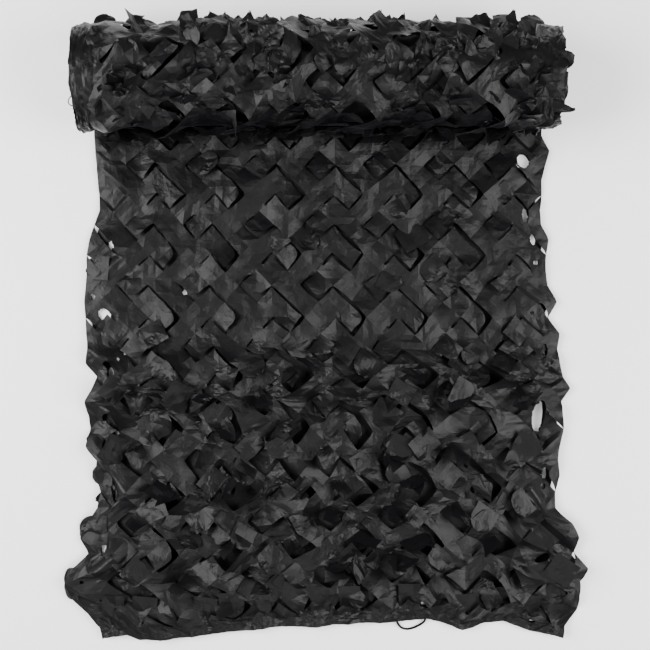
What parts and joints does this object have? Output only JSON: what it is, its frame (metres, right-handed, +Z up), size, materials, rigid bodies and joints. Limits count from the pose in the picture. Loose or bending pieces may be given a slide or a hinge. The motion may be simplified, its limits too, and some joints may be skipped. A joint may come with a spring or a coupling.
{
  "type": "camouflage net",
  "caption": "A black camouflage net of leaf-cut cloth, mostly wound into a roll, with its loose end laid out flat in front.",
  "frame": {"origin": "on the floor under the middle of the whole net, at the bottom centre of its bounding box", "axes": "X runs across the net from its left side to its right, Y along it from the hem to the roll, Z up from the floor; metres"},
  "size_m": [1.56, 1.83, 0.3218],
  "materials": {
    "leaf_cloth": "thin black woven polyester with a satin coating, crisp creases and clean cut edges",
    "tie_cord": "black twisted cord, matt"
  },
  "bodies": {
    "root": {"net_sheet": "leaf_cloth", "net_roll": "leaf_cloth", "hem_tie_cord": "tie_cord", "roll_tie_cord": "tie_cord"}
  },
  "joints": []
}
